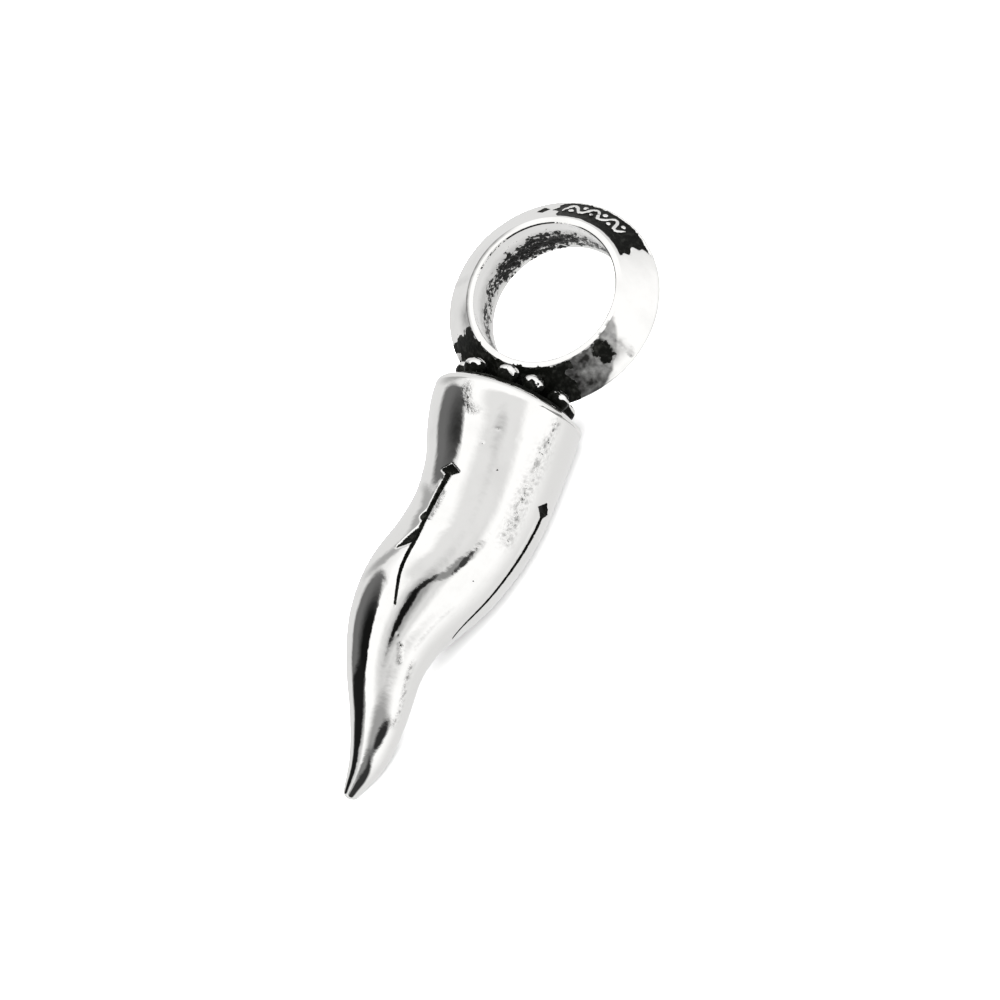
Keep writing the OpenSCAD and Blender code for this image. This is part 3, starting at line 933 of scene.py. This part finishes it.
def make_camera():
    right, up, back = view_axes()
    width = PIXELS / PIXELS_PER_MM * MM
    distance = width * LENS / SENSOR
    aside = (PIXELS / 2 - BAIL_CENTRE_PIXEL[0]) / PIXELS_PER_MM * MM
    above = (BAIL_CENTRE_PIXEL[1] - PIXELS / 2) / PIXELS_PER_MM * MM
    target = FLAT_ORIGIN + right * aside + up * above
    data = bpy.data.cameras.new("camera")
    data.lens = LENS
    data.sensor_width = SENSOR
    data.clip_end = 50
    camera = bpy.data.objects.new("camera", data)
    turn = Matrix((right, up, back)).transposed().to_4x4()
    camera.matrix_world = Matrix.Translation(target + back * distance) @ turn
    bpy.context.scene.collection.objects.link(camera)
    bpy.context.scene.camera = camera


TABLE_HALF = 1.5
TABLE_WHITE = (0.90, 0.90, 0.90, 1)
TABLE_ROUGHNESS = 0.9


def make_table():
    mesh = bpy.data.meshes.new("table")
    corners = [(TABLE_HALF * x, TABLE_HALF * y, 0) for x, y in ((-1, -1), (1, -1), (1, 1), (-1, 1))]
    mesh.from_pydata(corners, [], [(0, 1, 2, 3)])
    table = bpy.data.objects.new("table", mesh)
    bpy.context.scene.collection.objects.link(table)
    table.visible_glossy = False
    material = bpy.data.materials.new("white_card")
    material.use_nodes = True
    shader = material.node_tree.nodes["Principled BSDF"]
    shader.inputs["Base Color"].default_value = TABLE_WHITE
    shader.inputs["Roughness"].default_value = TABLE_ROUGHNESS
    shader.inputs["Specular IOR Level"].default_value = 0.0
    mesh.materials.append(material)


# The room as the silver mirrors it, on a disc of directions: the middle is towards the camera, across
# is to the picture's right and up is to its top. Each card is a soft-edged oval: place across, place up,
# half width, half height, turn in degrees, softness and brightness.
WHITE = 1.12
EDGE_GREY = 0.80
EDGE_START = 0.54
EDGE_END = 0.84
CARDS = [
    ("grey_wall", -0.06, -0.09, 0.23, 0.26, 12, 0.22, 0.80),
    ("grey_wall_right", 0.10, 0.04, 0.16, 0.12, -20, 0.40, 0.78),
    ("grey_wall_top", -0.03, 0.17, 0.28, 0.10, -17, 0.32, 0.84),
    ("low_shade", -0.04, -0.40, 0.28, 0.10, 4, 0.50, 0.36),
    ("low_dark", 0.13, -0.455, 0.22, 0.055, 6, 0.40, 0.028),
    ("low_left_dark", -0.12, -0.60, 0.28, 0.12, -22, 0.30, 0.035),
    ("low_left_shade", -0.30, -0.48, 0.16, 0.04, -15, 0.50, 0.24),
    ("lens_shade", -0.06, -0.06, 0.12, 0.17, -10, 0.50, 0.36),
    ("arm", 0.15, -0.012, 0.15, 0.032, -17, 0.45, 0.30),
    ("arm_end", 0.232, -0.037, 0.044, 0.022, -17, 0.30, 0.05),
    ("lens_top", -0.035, 0.020, 0.105, 0.030, 3, 0.35, 0.02),
    ("lens", -0.090, -0.085, 0.058, 0.118, -6, 0.25, 0.008),
    ("left_top_line", -0.64, 0.480, 0.19, 0.042, 20, 0.60, 0.42),
    ("left_wall", -0.68, 0.03, 0.18, 0.36, 0, 0.12, 0.16),
    ("left_dark", -0.57, -0.04, 0.13, 0.29, 6, 0.55, 0.008),
    ("low_left_wall", -0.68, -0.21, 0.16, 0.12, -10, 0.25, 0.012),
    ("white_strip", -0.425, 0.04, 0.072, 0.42, 0, 0.15, 1.12),
]


def make_world():
    world = bpy.data.worlds.new("room")
    bpy.context.scene.world = world
    world.use_nodes = True
    tree = world.node_tree
    tree.nodes.clear()
    coords = tree.nodes.new("ShaderNodeTexCoord")

    def towards(direction):
        dot = new_node(tree, "ShaderNodeVectorMath", operation="DOT_PRODUCT")
        tree.links.new(coords.outputs["Generated"], dot.inputs[0])
        dot.inputs[1].default_value = direction
        return dot.outputs["Value"]

    right, up, back = view_axes()
    lift = total(tree, towards(back), 1.0)
    scale = math_node(tree, "SQRT", math_node(tree, "MAXIMUM", times(tree, lift, 2.0), 0.0001))
    across = math_node(tree, "DIVIDE", towards(right), scale)
    above = math_node(tree, "DIVIDE", towards(up), scale)

    def oval(x, y, half_w, half_h, turn, soft):
        c = math.cos(math.radians(turn))
        s = math.sin(math.radians(turn))
        dx = math_node(tree, "SUBTRACT", across, x)
        dy = math_node(tree, "SUBTRACT", above, y)
        p = total(tree, times(tree, dx, c / half_w), times(tree, dy, s / half_w))
        q = total(tree, times(tree, dx, -s / half_h), times(tree, dy, c / half_h))
        return range_node(tree, length_node(tree, p, q), 1 - soft, 1 + soft, 1.0, 0.0)

    glow = range_node(tree, length_node(tree, across, above), EDGE_START, EDGE_END, WHITE, EDGE_GREY)
    for name, x, y, half_w, half_h, turn, soft, level in CARDS:
        glow = mix_node(tree, "FLOAT", oval(x, y, half_w, half_h, turn, soft), glow, level, name)
    background = tree.nodes.new("ShaderNodeBackground")
    tree.links.new(glow, background.inputs["Color"])
    output = tree.nodes.new("ShaderNodeOutputWorld")
    tree.links.new(background.outputs[0], output.inputs["Surface"])


# Height over the table and width in metres, and watts
SOFT_LIGHT = (0.6, 0.9, 15)
FILL_LIGHT = (0.5, 0.6, 9)


def make_light(name, aside, height, size, energy):
    """Soft disc light over the table, turned to the charm, which the silver doesn't mirror."""
    place = Vector((0, 0, height)) + aside
    data = bpy.data.lights.new(name, "AREA")
    data.shape = "DISK"
    data.size = size
    data.energy = energy
    light = bpy.data.objects.new(name, data)
    light.matrix_world = Matrix.Translation(place) @ place.to_track_quat("Z", "Y").to_matrix().to_4x4()
    light.visible_glossy = False
    bpy.context.scene.collection.objects.link(light)


def make_lights():
    right, up, _ = view_axes()
    aside = (right * 0.16 - up * 0.12) * Vector((1, 1, 0))
    make_light("soft_light", -aside, *SOFT_LIGHT)
    make_light("fill_light", aside * 2, *FILL_LIGHT)


silver = make_silver()
horn = make_horn()
pieces = [horn, make_bail(), make_collar(), make_dome()] + make_granules()
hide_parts("horn_charm")
for piece in pieces:
    piece.data.materials.append(silver)
make_table()
make_world()
make_lights()
make_camera()
bpy.context.scene.view_settings.view_transform = "Standard"
